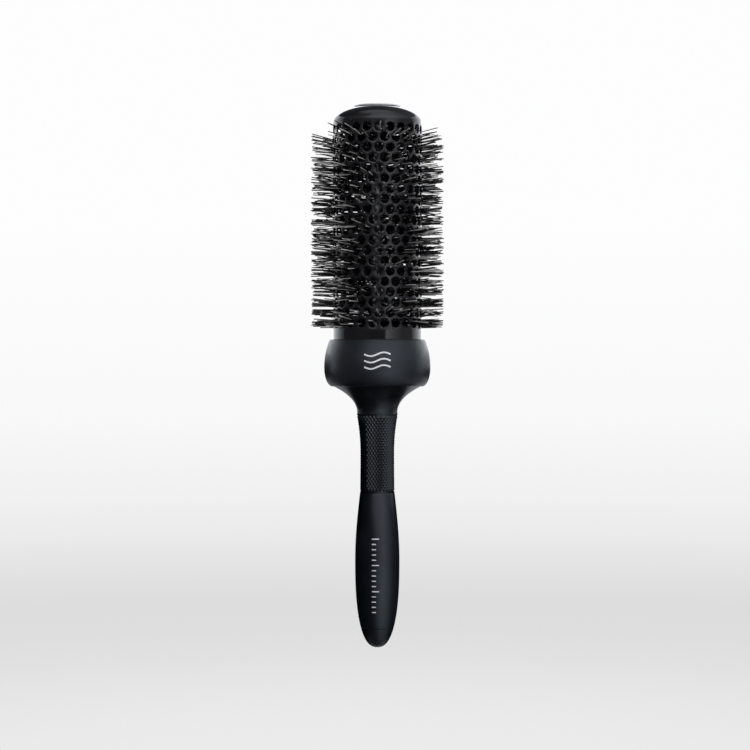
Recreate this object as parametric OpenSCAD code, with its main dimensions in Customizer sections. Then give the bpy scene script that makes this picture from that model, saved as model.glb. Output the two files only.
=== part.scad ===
// Round barrel hair brush, standing on its handle with the barrel up.
// The origin is the middle of the grip, on the brush's axis. +Z runs towards the barrel, -Y is the front.

/* [Barrel] */
// Outer diameter of the barrel tube
barrel_d = 43; // [42:0.5:44]
// Thickness of the barrel's sheet metal
barrel_wall = 0.8; // [0.6:0.1:0.9]
// Height of the rounded shoulder at the free end
dome_h = 8.3; // [8:0.1:9]
// Rows of vents along the barrel
vent_rows = 20; // [16:1:22]
// Vents in each row
vents_per_row = 24; // [22:1:26]
// Diameter of one vent
vent_d = 4.35; // [3.9:0.05:4.5]
// Turn of the vent pattern about the axis, in degrees
vent_turn = 1.7; // [0:0.1:7.5]
// Plain band between the shoulder and the first row of vents, to the vent centres
top_band = 4.1; // [3.8:0.1:5]
// Plain band between the last row of vents and the collar, from the vent centres
foot_band = 7.6; // [7:0.1:10]

/* [End disc] */
// Diameter of the bright disc on the rounded end
disc_d = 22.4; // [21.5:0.1:23]
// Height of the disc's flat top above the mouth of the barrel
disc_proud = 0.95; // [0.9:0.05:1.2]
// Width of the disc's rounded edge
disc_crown = 5.5; // [3:0.5:8]

/* [Bristles] */
// Diameter across the bristle tips
bristle_d = 64; // [58:0.5:66]
// Diameter of a tuft at its tip
tuft_tip_d = 2.8; // [2:0.1:3.6]
// Diameter of a tuft at its root
tuft_root_d = 0.9; // [0.8:0.05:1.15]
// Diameter of one strand of the twisted wire
wire_d = 2.1; // [1.8:0.1:2.2]
// Length of one full turn of the twisted wire
wire_pitch = 16.4; // [14:0.2:20]

/* [Collar and neck] */
// Height of the collar
collar_h = 22.5; // [21:0.5:24]
// Largest diameter of the collar
collar_d = 51; // [50:0.2:53]
// Diameter of the collar's top rim
collar_rim_d = 45.9; // [45.5:0.1:47]
// Diameter of the neck where it meets the collar
flare_d = 41.6; // [41:0.1:42]
// Height of the flared neck
neck_h = 13.1; // [12.5:0.1:15]

/* [Handle] */
// Length of the patterned grip sleeve
grip_l = 37.8; // [35:0.2:42]
// Diameter of the grip sleeve's waist
grip_waist_d = 16.3; // [16:0.1:17.5]
// Diameter of the grip sleeve's upper end
grip_top_d = 19.9; // [19.3:0.1:21]
// Diameter of the grip sleeve's lower end
grip_foot_d = 16.6; // [16.3:0.1:17.5]
// Length of the tail from the grip sleeve to the tip
tail_l = 74.3; // [72:0.5:80]
// Largest diameter of the tail
tail_d = 21.3; // [20.6:0.1:23]

/* [Sectioning pick] */
// Length of the pull-out tip's outside
cap_l = 9.3; // [9:0.1:10]
// Length of the pick from its tip to the cap's shoulder
spike_l = 58; // [40:1:62]
// Diameter of the pick where it leaves the cap
spike_d = 3.2; // [2.6:0.1:3.4]

/* [Hidden] */
$fn = 72;
fit_gap = 0.05;      // sliding and pressed fits, on the radius
seam_gap = 0.1;      // fine groove between two mouldings
clear_gap = 0.2;     // free space round pieces that only locate each other
outline_steps = 18;  // points along one formed stretch of an outline
cut = 1;             // how far a cutting tool runs past the surface

// Radii
barrel_r = barrel_d / 2;
bore_r = barrel_r - barrel_wall;
disc_r = disc_d / 2;
disc_overlap = 0.8;
mouth_r = disc_r - disc_overlap;      // round opening in the barrel's end, under the disc
stem_r = 1.9;                         // disc's stem, pressed in the end plug
stem_l = 3.5;
bristle_r = bristle_d / 2;
wire_r = wire_d / 2;
rope_r = wire_d + clear_gap / 2;      // round the pair of twisted strands
collar_r = collar_d / 2;
flare_r = flare_d / 2;
waist_r = grip_waist_d / 2;
grip_top_r = grip_top_d / 2;
grip_foot_r = grip_foot_d / 2;
tail_r = tail_d / 2;
sleeve_proud = 0.3;
neck_r = grip_top_r - sleeve_proud;   // the sleeve stands a little proud of the neck
core_r = 6.2;                         // handle core's tube, under the sleeve and the shell
wire_hand = -1;                       // the wire is twisted left-handed
hub_r = 5.2;                          // band of filament roots round the wire
hub_h = 2.4;
tuft_sink = 0.6;                      // how deep a tuft starts inside its band
ferrule_r = 3.2;
boss_r = 5;                           // base plug's boss, seated in the handle core
boss_seat_l = 5;
pin_count = 4;
pin_r = 1;
pin_l = 2.4;
pin_rise = 4;                         // above the barrel's foot
barrel_seat_h = 9.5;                  // barrel's foot above the collar's foot
skirt_h = 2;                          // how far the collar's bore runs below the barrel's foot
spigot_h = 10;                        // core's spigot inside the barrel
spigot_wall = 2.95;
seat_depth = 6;                       // floor of the core's seat below the barrel's foot
plug_drop = 3.4;                      // base plug's top below the last row of vents
end_plug_rise = 2.6;                  // end plug's foot above the first row of vents
rope_buried_l = 11;
rope_head_gap = 0.6;                  // between the wire's end and the disc's stem
ferrule_sink = 1;                     // ferrule's top below the base plug's top
ferrule_over = 0.5;                   // ferrule's length past the wire's end

// Shape of the handle's outlines
flare_power = 2.3;
tail_bluntness = 2.5;
tail_wide_share = 0.439;              // where the tail is widest, as a share of its length
collar_wide_share = 0.4;              // where the collar is widest, as a share of its height
collar_round = 4;

// Levels along the axis, upwards from the middle of the grip
grip_top_z = grip_l / 2;
collar_z = grip_top_z + neck_h;
collar_rim_z = collar_z + collar_h;
last_row_z = collar_rim_z + foot_band;
row_pitch = PI * barrel_d / vents_per_row * sin(60);   // the vents stand in equal-sided triangles
first_row_z = last_row_z + (vent_rows - 1) * row_pitch;
shoulder_z = first_row_z + top_band;
mouth_z = shoulder_z + dome_h * sin(acos(mouth_r / barrel_r));
disc_top_z = mouth_z + disc_proud;
barrel_foot_z = collar_z + barrel_seat_h;
skirt_z = barrel_foot_z - skirt_h;
spigot_top_z = barrel_foot_z + spigot_h;
pin_z = barrel_foot_z + pin_rise;
plug_top_z = last_row_z - plug_drop;
seat_floor_z = barrel_foot_z - seat_depth;
end_plug_z = first_row_z + end_plug_rise;
rope_foot_z = plug_top_z - rope_buried_l;
rope_top_z = mouth_z - stem_l - rope_head_gap;

// Levels along the axis, downwards from the middle of the grip
grip_foot_z = -grip_l / 2;
tip_z = grip_foot_z - tail_l;
cap_z = tip_z + cap_l;
tail_wide_z = grip_foot_z - tail_wide_share * tail_l;
spike_tip_z = cap_z + spike_l;

// Pick fit
socket_l = 10;
socket_r = 5.4;
socket_bore_r = 4.1;
spigot_l = 8;
spigot_r = 3.9;
ring_r = 0.56;                        // section of the rubber ring
ring_rise = 4.6;                      // above the cap's shoulder
ring_z = cap_z + ring_rise;
ring_path_r = socket_bore_r - fit_gap - ring_r;
spike_play = 0.5;                     // free space round the pick, on the radius
spike_clear = 2;                      // free space beyond its point
spike_bore_r = spike_d / 2 + spike_play;
spike_root_l = 10;                    // buried in the cap
spike_root_z = cap_z + spigot_l - spike_root_l;

body_colour = [0.10, 0.10, 0.12];
soft_colour = [0.19, 0.19, 0.21];
steel_colour = [0.78, 0.78, 0.80];
nylon_colour = [0.16, 0.14, 0.15];

function two_digits(n) = str(n < 10 ? "0" : "", n);
function row_name(row) = str("bristle_row_", two_digits(row + 1));

// ---- Outlines, as [radius, height] points ----

// Quarter of an ellipse about [0, z], from the side (turn 0) to the top (turn 90)
function ellipse_point(a, b, z, turn) = [a * cos(turn), z + b * sin(turn)];

// Points of a shoulder of semi-axes a and b, from its side up to the radius stop_r
function shoulder_points(a, b, stop_r) =
  let (last = acos(stop_r / a))
  [for (i = [0:outline_steps]) ellipse_point(a, b, shoulder_z, last * i / outline_steps)];

function reversed(points) = [for (i = [len(points) - 1:-1:0]) points[i]];

// Radius of the flared neck: slim at the grip and opening towards the collar
function neck_radius(z) = neck_r + (flare_r - neck_r) * pow((z - grip_top_z) / neck_h, flare_power);

// Radius of the waisted grip sleeve, narrowest at the origin
function grip_radius(z) =
  waist_r + (z > 0 ? grip_top_r - waist_r : grip_foot_r - waist_r) * pow(z / grip_top_z, 2);

// Radius of the tail: swells from the sleeve to its widest place, then closes as a blunt oval
function tail_radius(z) =
  z > tail_wide_z
    ? grip_foot_r + (tail_r - grip_foot_r) * sin(90 * (grip_foot_z - z) / (grip_foot_z - tail_wide_z))
    : tail_r * pow(1 - pow((tail_wide_z - z) / (tail_wide_z - tip_z), tail_bluntness), 1 / tail_bluntness);

// Radius of the collar: a wide arc above its widest place and a tight oval below it
collar_wide_z = collar_z + collar_wide_share * collar_h;
collar_arc_r = let (rise = collar_rim_z - collar_wide_z, run = collar_r - collar_rim_d / 2)
  (rise * rise + run * run) / (2 * run);
function collar_radius(z) =
  let (below = (collar_wide_z - z) / (collar_wide_z - collar_z))
  z > collar_wide_z
    ? collar_r - collar_arc_r + sqrt(pow(collar_arc_r, 2) - pow(z - collar_wide_z, 2))
    : collar_r - collar_round + collar_round * sqrt(1 - pow(below, 2));

// ---- Helpers ----

// A ring of revolution between two radii and two heights
module ring(outer, inner, low, high) {
  translate([0, 0, low])
    difference() {
      cylinder(r = outer, h = high - low);
      translate([0, 0, -cut]) cylinder(r = inner, h = high - low + 2 * cut);
    }
}

// A plain round hole along the axis, between two heights
module axial_hole(radius, low, high) {
  translate([0, 0, low]) cylinder(r = radius, h = high - low);
}

// Angle of a vent about the axis, counted from the front
function vent_angle(row, i) = vent_turn + 360 / vents_per_row * (i + (row % 2) / 2);
function row_z(row) = first_row_z - row * row_pitch;

// ---- Barrel ----

module barrel() {
  outer = shoulder_points(barrel_r, dome_h, mouth_r);
  inner = shoulder_points(bore_r, dome_h - barrel_wall, mouth_r);
  color(body_colour)
    difference() {
      rotate_extrude()
        polygon(concat([[bore_r, barrel_foot_z], [barrel_r, barrel_foot_z]], outer, reversed(inner)));
      for (row = [0:vent_rows - 1])
        for (i = [0:vents_per_row - 1])
          rotate([0, 0, vent_angle(row, i)])
            translate([0, cut - bore_r, row_z(row)])
              rotate([90, 0, 0]) cylinder(d = vent_d, h = barrel_wall + 2 * cut);
      pin_holes();
    }
}

module end_disc() {
  lip = 0.25;       // thickness of the disc's lower lip, below the groove
  groove = 0.2;     // width and depth of the groove round the edge
  lip_z = mouth_z + fit_gap;
  groove_z = lip_z + lip;
  crown_z = groove_z + groove;
  crown = [for (turn = [0:7.5:90])
    [disc_r - fit_gap - disc_crown, 0] + ellipse_point(disc_crown, disc_top_z - crown_z, crown_z, turn)];
  color(steel_colour)
    rotate_extrude()
      polygon(concat(
        [[0, mouth_z - stem_l], [stem_r, mouth_z - stem_l], [stem_r, lip_z], [disc_r, lip_z],
         [disc_r, groove_z], [disc_r - groove, groove_z], [disc_r - groove, crown_z]],
        crown, [[0, disc_top_z]]));
}

module end_plug() {
  skin = 1.8;       // thickness of the moulding under the shoulder
  outer = shoulder_points(bore_r - clear_gap, dome_h - barrel_wall - clear_gap, mouth_r - clear_gap);
  inner = shoulder_points(bore_r - clear_gap - skin, dome_h - barrel_wall - clear_gap - skin, boss_r);
  color(body_colour)
    difference() {
      rotate_extrude()
        polygon(concat(
          [[boss_r, end_plug_z], [boss_r, inner[outline_steps][1]]], reversed(inner),
          [[bore_r - clear_gap - skin, end_plug_z], [bore_r - clear_gap, end_plug_z]], outer,
          [[mouth_r - clear_gap, mouth_z], [0, mouth_z], [0, end_plug_z]]));
      axial_hole(rope_r, end_plug_z - cut, rope_top_z + clear_gap);
      axial_hole(stem_r + fit_gap / 2, rope_top_z, mouth_z + cut);
    }
}

// ---- Twisted wire ----

// One strand, a round wire wound on a path as wide as itself, with flat ends
module wire_strand(phase) {
  sides = 8;
  steps_per_turn = 16;
  path_r = wire_r + fit_gap / 2;
  turns = wire_hand * (rope_top_z - rope_foot_z) / wire_pitch;
  steps = ceil(abs(turns) * steps_per_turn);
  slope = wire_hand * atan(2 * PI * path_r / wire_pitch);
  points = [
    for (i = [0:steps])
      let (turn = 360 * turns * i / steps + phase, z = rope_foot_z + (rope_top_z - rope_foot_z) * i / steps)
      for (s = [0:sides - 1])
        let (r = path_r + wire_r * cos(360 * s / sides), across = wire_r * sin(360 * s / sides),
             along = across * cos(slope), rise = i == 0 || i == steps ? 0 : -across * sin(slope))
        [r * cos(turn) - along * sin(turn), r * sin(turn) + along * cos(turn), z + rise]];
  sides_faces = [
    for (i = [0:steps - 1])
      for (s = [0:sides - 1])
        let (a = i * sides + s, b = i * sides + (s + 1) % sides)
        for (face = [[a, a + sides, b], [b, a + sides, b + sides]]) face];
  foot_face = [for (s = [0:sides - 1]) s];
  top_face = [for (s = [sides - 1:-1:0]) steps * sides + s];
  color(steel_colour) polyhedron(points, concat([foot_face], sides_faces, [top_face]));
}

module wire_ferrule() {
  color(steel_colour) ring(ferrule_r, rope_r, rope_foot_z - ferrule_over, plug_top_z - ferrule_sink);
}

// ---- Bristles ----

// One ring of tufts, pinched in the wire and standing out through one row of vents
module bristle_row(row) {
  root_r = hub_r - tuft_sink;
  color(nylon_colour)
    difference() {
      union() {
        translate([0, 0, row_z(row) - hub_h / 2]) cylinder(r = hub_r, h = hub_h);
        for (i = [0:vents_per_row - 1])
          rotate([0, 0, vent_angle(row, i)])
            translate([0, -root_r, row_z(row)])
              rotate([90, 0, 0]) cylinder(d1 = tuft_root_d, d2 = tuft_tip_d, h = bristle_r - root_r);
      }
      axial_hole(rope_r, row_z(row) - hub_h, row_z(row) + hub_h);
    }
}

// ---- Foot of the barrel ----

module base_plug() {
  rim_h = 2.4;
  weld = 0.1;       // overlap of the boss and the rim
  color(body_colour)
    difference() {
      union() {
        ring(bore_r - fit_gap, rope_r, plug_top_z - rim_h, plug_top_z);
        ring(boss_r, ferrule_r + fit_gap, seat_floor_z - boss_seat_l + clear_gap, plug_top_z - rim_h + weld);
      }
      axial_hole(ferrule_r + fit_gap, seat_floor_z - boss_seat_l, plug_top_z - ferrule_sink + clear_gap);
    }
}

// Round bars pointing outwards at the foot of the barrel, from the radius inner to outer
module pin_ring(radius, inner, outer) {
  for (i = [0:pin_count - 1])
    rotate([0, 0, 360 / pin_count * (i + 0.5)])
      translate([0, -inner, pin_z]) rotate([90, 0, 0]) cylinder(r = radius, h = outer - inner);
}

module pin_holes() {
  pin_ring(pin_r, barrel_r - pin_l - clear_gap, barrel_r + cut);
}

module barrel_pins() {
  color(steel_colour) pin_ring(pin_r - fit_gap / 2, barrel_r - pin_l, barrel_r);
}

module collar() {
  top = 0.5;      // small round on the collar's rim
  points = [for (i = [0:2 * outline_steps])
    let (z = collar_z + (collar_rim_z - top - collar_z) * (1 - cos(90 * i / outline_steps)) / 2)
    [collar_radius(z), z]];
  color(soft_colour)
    rotate_extrude()
      polygon(concat(
        [[flare_r, collar_z]], points,
        [[collar_rim_d / 2 - top, collar_rim_z], [barrel_r + fit_gap, collar_rim_z],
         [barrel_r + fit_gap, skirt_z], [flare_r, skirt_z]]));
}

// ---- Handle ----

module handle_core() {
  flare = [for (i = [0:outline_steps])
    let (z = grip_top_z + neck_h * sin(90 * i / outline_steps)) [neck_radius(z), z]];
  seat_r = bore_r - fit_gap - spigot_wall;
  tail_seat = cap_z + socket_l;
  color(body_colour)
    difference() {
      rotate_extrude()
        polygon(concat(
          [[0, cap_z + seam_gap], [core_r, cap_z + seam_gap], [core_r, grip_top_z]], flare,
          [[flare_r - fit_gap, collar_z], [flare_r - fit_gap, skirt_z],
           [barrel_r - fit_gap, skirt_z], [barrel_r - fit_gap, barrel_foot_z - fit_gap],
           [bore_r - fit_gap, barrel_foot_z - fit_gap], [bore_r - fit_gap, spigot_top_z],
           [seat_r, spigot_top_z], [seat_r, seat_floor_z], [0, seat_floor_z]]));
      axial_hole(boss_r + fit_gap / 2, seat_floor_z - boss_seat_l, seat_floor_z + cut);
      axial_hole(spike_bore_r, cap_z - cut, spike_tip_z + spike_clear);
      axial_hole(socket_r, cap_z - cut, tail_seat);
      pin_holes();
    }
}

module grip_sleeve() {
  points = [for (i = [0:2 * outline_steps])
    let (z = grip_foot_z + grip_l * i / (2 * outline_steps)) [grip_radius(z), z]];
  color(soft_colour)
    rotate_extrude()
      polygon(concat(points, [[core_r + fit_gap, grip_top_z], [core_r + fit_gap, grip_foot_z]]));
}

module handle_shell() {
  points = [for (i = [0:2 * outline_steps])
    let (z = grip_foot_z - (grip_foot_z - cap_z) * i / (2 * outline_steps)) [tail_radius(z), z]];
  color(soft_colour)
    rotate_extrude()
      polygon(concat(points, [[core_r + fit_gap, cap_z], [core_r + fit_gap, grip_foot_z]]));
}

// ---- Pull-out sectioning pick ----

module pick_socket() {
  color(steel_colour)
    ring(socket_r - fit_gap / 2, socket_bore_r, cap_z + seam_gap, cap_z + socket_l - seam_gap);
}

module pick_cap() {
  groove_h = 2 * ring_r + clear_gap;
  points = [for (i = [0:outline_steps])
    let (z = cap_z - seam_gap - (cap_l - seam_gap) * sin(90 * i / outline_steps)) [tail_radius(z), z]];
  color(soft_colour)
    difference() {
      rotate_extrude()
        polygon(concat(
          [[0, cap_z + spigot_l], [spigot_r, cap_z + spigot_l],
           [spigot_r, ring_z + groove_h / 2], [ring_path_r - ring_r, ring_z + groove_h / 2],
           [ring_path_r - ring_r, ring_z - groove_h / 2], [spigot_r, ring_z - groove_h / 2],
           [spigot_r, cap_z - seam_gap]], points));
      axial_hole(spike_d / 2 + fit_gap / 2, spike_root_z, cap_z + spigot_l + cut);
    }
}

module pick_o_ring() {
  color(body_colour)
    rotate_extrude() translate([ring_path_r, ring_z]) circle(r = ring_r);
}

module pick_spike() {
  straight_l = 16;
  point_r = 0.7;
  color(steel_colour)
    rotate_extrude()
      polygon(concat(
        [[0, spike_root_z], [spike_d / 2, spike_root_z], [spike_d / 2, spike_root_z + straight_l]],
        [for (turn = [0:15:90]) ellipse_point(point_r, point_r, spike_tip_z - point_r, turn)]));
}

barrel();
end_disc();
end_plug();
wire_strand(0);  // wire_strand_a
wire_strand(180);  // wire_strand_b
wire_ferrule();
base_plug();
barrel_pins();
collar();
handle_core();
grip_sleeve();
handle_shell();
pick_socket();
pick_cap();
pick_o_ring();
pick_spike();
for (row = [0:vent_rows - 1]) bristle_row(row);
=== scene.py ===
"""Looks of the round barrel brush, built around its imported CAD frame.

Shapes are worked out in millimetres in the frame's own axes: +Z runs along the brush from the grip to
the rounded end, -Y is the front, and an azimuth is counted from the front towards +X, in radians.
"""

import math

import bpy
import numpy as np
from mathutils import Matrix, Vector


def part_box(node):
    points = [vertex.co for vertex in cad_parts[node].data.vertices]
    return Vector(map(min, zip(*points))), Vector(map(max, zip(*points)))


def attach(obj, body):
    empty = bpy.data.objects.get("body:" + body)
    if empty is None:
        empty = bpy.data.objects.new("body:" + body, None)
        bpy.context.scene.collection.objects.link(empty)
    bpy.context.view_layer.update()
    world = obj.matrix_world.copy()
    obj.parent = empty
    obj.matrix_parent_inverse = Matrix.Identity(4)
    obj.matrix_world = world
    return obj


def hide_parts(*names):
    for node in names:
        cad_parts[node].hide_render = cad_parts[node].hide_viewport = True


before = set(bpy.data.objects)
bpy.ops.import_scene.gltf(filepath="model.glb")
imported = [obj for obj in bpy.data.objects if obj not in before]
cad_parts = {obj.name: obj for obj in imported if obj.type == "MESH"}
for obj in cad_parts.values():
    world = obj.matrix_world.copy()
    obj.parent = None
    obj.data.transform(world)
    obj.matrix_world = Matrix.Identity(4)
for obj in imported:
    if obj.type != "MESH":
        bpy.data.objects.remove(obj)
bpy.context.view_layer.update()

MM = 0.001
TURN = 2 * math.pi
rng = np.random.default_rng(43)


# ---------------------------------------------------------------- sizes, read from the frame

def bottom(node):
    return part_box(node)[0].z / MM


def top(node):
    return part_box(node)[1].z / MM


def middle(node):
    return (bottom(node) + top(node)) / 2


def radius(node):
    low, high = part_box(node)
    return (high.x - low.x) / 2 / MM


ROW_NODES = sorted(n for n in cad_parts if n.startswith("bristle_row_"))
ROW_Z = np.linspace(middle(ROW_NODES[0]), middle(ROW_NODES[-1]), len(ROW_NODES))
ROW_PITCH = ROW_Z[0] - ROW_Z[1]
FIT = 0.05            # clearance between nested pieces

# Barrel and vents
WALL = 0.8
BARREL_R = radius("barrel")
BORE_R = BARREL_R - WALL
BARREL_FOOT_Z = bottom("barrel")
VENTS_PER_ROW = 24
VENT_R = 4.35 / 2
VENT_TURN = math.radians(1.7)
VENT_STEP = TURN / VENTS_PER_ROW
CELL_HALF = BARREL_R * VENT_STEP / 2        # half the width of the six-sided cell round one vent
RAYS = 24                                   # points round one vent
FLAT_REACH = 3.5                            # from the outer vents' centres to the plain bands
DOME_H = 8.3
SHOULDER_Z = ROW_Z[0] + 4.1
MOUTH_R = radius("end_disc") - 0.8          # the end disc laps over the barrel's mouth

# Bristles and wire
BRISTLE_R = 32.0
SHORT_FILAMENTS = 150                       # near the rounded end, which never reach a vent
FILAMENTS = 1900
FILAMENT_R = 0.25
WIRE_R = 1.05
WIRE_PITCH = 16.4
WIRE_HAND = -1                              # the wire and the bristles wind left-handed
WIRE_PATH_R = WIRE_R + 0.025
WIRE_Z = (bottom("wire_strand_a"), top("wire_strand_a"))

# Collar and handle
COLLAR_R = radius("collar")
COLLAR_RIM_R = 22.95
COLLAR_Z = (bottom("collar"), top("collar"))
COLLAR_WIDE_Z = COLLAR_Z[0] + 0.4 * (COLLAR_Z[1] - COLLAR_Z[0])
COLLAR_TUCK = 4                             # how far it draws in below its widest place
LEDGE_Z = COLLAR_Z[0] + 7.5                 # where it rests on the handle's core
GRIP_Z = (bottom("grip_sleeve"), top("grip_sleeve"))
GRIP_TOP_R = radius("grip_sleeve")
GRIP_WAIST_R = 8.15
GRIP_FOOT_R = 8.3
NECK_R = GRIP_TOP_R - 0.3
FLARE_R = 20.8
CORE_R = 6.2
TIP_Z = bottom("pick_cap")
CAP_Z = bottom("handle_shell")
TAIL_R = radius("handle_shell")
TAIL_WIDE_Z = GRIP_Z[0] - 0.439 * (GRIP_Z[0] - TIP_Z)
SEAM = 0.1

# Pull-out pick
SOCKET_R = 4.1
SPIGOT_R = 3.9
RING_Z = CAP_Z + 4.6
RING_R = 0.56
RING_PATH_R = SOCKET_R - FIT - RING_R


# ---------------------------------------------------------------- outlines, as (radius, z)

def arc(a, b, z, first, last, steps):
    """Points of an ellipse about (0, z) with semi-axes a and b, between two angles in degrees."""
    turns = np.radians(np.linspace(first, last, steps + 1))
    return [(a * math.cos(t), z + b * math.sin(t)) for t in turns]


def rounded(corners, steps=5):
    """A closed outline through (radius, z) corners. A third value rounds that corner with an arc."""
    points = []
    for i, corner in enumerate(corners):
        here = np.array(corner[:2], float)
        if len(corner) == 2:
            points.append(tuple(here))
            continue
        back = np.array(corners[i - 1][:2], float) - here
        ahead = np.array(corners[(i + 1) % len(corners)][:2], float) - here
        back /= np.linalg.norm(back)
        ahead /= np.linalg.norm(ahead)
        half = math.acos(float(np.clip(back @ ahead, -1, 1))) / 2
        centre = here + (back + ahead) / np.linalg.norm(back + ahead) * corner[2] / math.sin(half)
        start = here + back * corner[2] / math.tan(half) - centre
        end = here + ahead * corner[2] / math.tan(half) - centre
        sweep = math.pi - 2 * half
        for t in np.linspace(0, 1, steps + 1):
            mix = (math.sin((1 - t) * sweep) * start + math.sin(t * sweep) * end) / math.sin(sweep)
            points.append(tuple(centre + mix))
    return points


def neck_radius(z):
    along = max(0.0, (z - GRIP_Z[1]) / (COLLAR_Z[0] - GRIP_Z[1]))
    return NECK_R + (FLARE_R - NECK_R) * along ** 2.3


def grip_radius(z):
    end = GRIP_TOP_R if z > 0 else GRIP_FOOT_R
    return GRIP_WAIST_R + (end - GRIP_WAIST_R) * (z / GRIP_Z[1]) ** 2


def tail_radius(z):
    if z > TAIL_WIDE_Z:
        along = (GRIP_Z[0] - z) / (GRIP_Z[0] - TAIL_WIDE_Z)
        return GRIP_FOOT_R + (TAIL_R - GRIP_FOOT_R) * math.sin(math.pi / 2 * along)
    along = (TAIL_WIDE_Z - z) / (TAIL_WIDE_Z - TIP_Z)
    return TAIL_R * max(0.0, 1 - along ** 2.5) ** 0.4


def collar_radius(z):
    if z > COLLAR_WIDE_Z:
        rise, run = COLLAR_Z[1] - COLLAR_WIDE_Z, COLLAR_R - COLLAR_RIM_R
        bow = (rise * rise + run * run) / (2 * run)
        return COLLAR_R - bow + math.sqrt(bow * bow - (z - COLLAR_WIDE_Z) ** 2)
    below = (COLLAR_WIDE_Z - z) / (COLLAR_WIDE_Z - COLLAR_Z[0])
    return COLLAR_R - COLLAR_TUCK + COLLAR_TUCK * math.sqrt(max(0.0, 1 - below * below))


# ---------------------------------------------------------------- meshes

def on_axis(radii, azimuths, heights):
    """Cylindrical places as an array of x, y, z."""
    return np.stack([radii * np.sin(azimuths), -radii * np.cos(azimuths), heights], -1)


def piece(name, points, faces, material, body="brush", replaces=(), sharp=38):
    """A smooth-shaded mesh object that rides on a CAD body and takes its material's slot."""
    mesh = bpy.data.meshes.new(name)
    mesh.from_pydata((np.asarray(points, float) * MM).tolist(), [], [list(f) for f in faces])
    mesh.update()
    mesh.materials.append(material)
    mesh.shade_smooth()
    mesh.set_sharp_from_angle(angle=math.radians(sharp))
    obj = bpy.data.objects.new(name, mesh)
    bpy.context.scene.collection.objects.link(obj)
    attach(obj, body)
    if replaces:
        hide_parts(*replaces)
    return obj


def lathe(outline, segments=144, phase=0.0):
    """Points and faces of a closed (radius, z) outline turned about the axis.

    A point on the axis becomes one vertex, and the faces look outwards."""
    outline = [tuple(p) for k, p in enumerate(outline) if math.dist(p, outline[k - 1]) > 1e-6]
    area = sum(a[0] * b[1] - b[0] * a[1] for a, b in zip(outline, outline[1:] + outline[:1]))
    if area < 0:
        outline.reverse()
    azimuths = phase + np.arange(segments) * TURN / segments
    points, rings = [], []
    for r, z in outline:
        if r < 1e-6:
            rings.append([len(points)] * segments)
            points.append((0.0, 0.0, z))
        else:
            rings.append(list(range(len(points), len(points) + segments)))
            points.extend(on_axis(np.full(segments, r), azimuths, np.full(segments, z)))
    faces = []
    for a, b in zip(rings, rings[1:] + rings[:1]):
        if a[0] == a[1] and b[0] == b[1]:
            continue
        for k in range(segments):
            n = (k + 1) % segments
            faces.append(list(dict.fromkeys((a[k], a[n], b[n], b[k]))))
    return points, faces


def weld(points, faces, per_mm=1e4):
    """The same surface with the points joined that coincide when rounded to 1 / per_mm millimetres."""
    points = np.asarray(points)
    keys = np.round(points * per_mm).astype(np.int64)
    _, first, index = np.unique(keys, axis=0, return_index=True, return_inverse=True)
    index = index.reshape(-1)
    return points[first], [index[list(face)].tolist() for face in faces]


def strips(rings):
    """Quads between neighbouring closed rings of points, given as an array [ring, place, xyz]."""
    count, places = rings.shape[:2]
    at = np.arange(count * places).reshape(count, places)
    beside = np.roll(at, -1, axis=1)
    quads = np.stack([at[:-1], beside[:-1], beside[1:], at[1:]], -1).reshape(-1, 4)
    return rings.reshape(-1, 3), quads


# ---------------------------------------------------------------- materials

def new_material(name, slot, colour, roughness, **sockets):
    """A Principled material. Other sockets are given by name, with underscores for spaces."""
    material = bpy.data.materials.new(name)
    material.use_nodes = True
    material["slot"] = slot
    shader = material.node_tree.nodes["Principled BSDF"]
    shader.inputs["Base Color"].default_value = (*colour, 1)
    shader.inputs["Roughness"].default_value = roughness
    for socket, value in sockets.items():
        shader.inputs[socket.replace("_", " ")].default_value = value
    return material


def add(material, kind, inputs=(), **settings):
    """A shader node with its settings and its inputs, which are values or other nodes' outputs."""
    node = material.node_tree.nodes.new(kind)
    for key, value in settings.items():
        setattr(node, key, value)
    for key, value in dict(inputs).items():
        if isinstance(value, bpy.types.NodeSocket):
            material.node_tree.links.new(value, node.inputs[key])
        else:
            node.inputs[key].default_value = value
    return node


def place(material, stretch=(1, 1, 1)):
    """The point on the object, in metres, with each axis multiplied by stretch."""
    coords = add(material, "ShaderNodeTexCoord")
    scaled = add(material, "ShaderNodeMapping", {"Vector": coords.outputs["Object"], "Scale": stretch})
    return scaled.outputs["Vector"]


def grain(material, size_mm, detail=3.0, stretch=(1, 1, 1)):
    """Noise from 0 to 1 whose features are about size_mm across."""
    noise = add(material, "ShaderNodeTexNoise",
                {"Vector": place(material, stretch), "Scale": 1 / (size_mm * MM), "Detail": detail})
    return noise.outputs["Fac"]


def spread(material, value, low, high, start=0.3, end=0.7):
    """A 0 to 1 value between start and end, spread over low to high."""
    ramp = add(material, "ShaderNodeMapRange", {"Value": value, "From Min": start, "From Max": end,
                                                "To Min": low, "To Max": high})
    return ramp.outputs["Result"]


def blend_colour(material, factor, first, second):
    mix = add(material, "ShaderNodeMix", data_type="RGBA")
    links = material.node_tree.links
    links.new(factor, mix.inputs[0])
    mix.inputs[6].default_value = (*first, 1)
    mix.inputs[7].default_value = (*second, 1)
    return mix.outputs[2]


def mottle(material, noise, first, second):
    """A colour that drifts between two with a noise."""
    return blend_colour(material, spread(material, noise, 0, 1), first, second)


def feed(material, socket, output):
    material.node_tree.links.new(output, material.node_tree.nodes["Principled BSDF"].inputs[socket])


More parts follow.
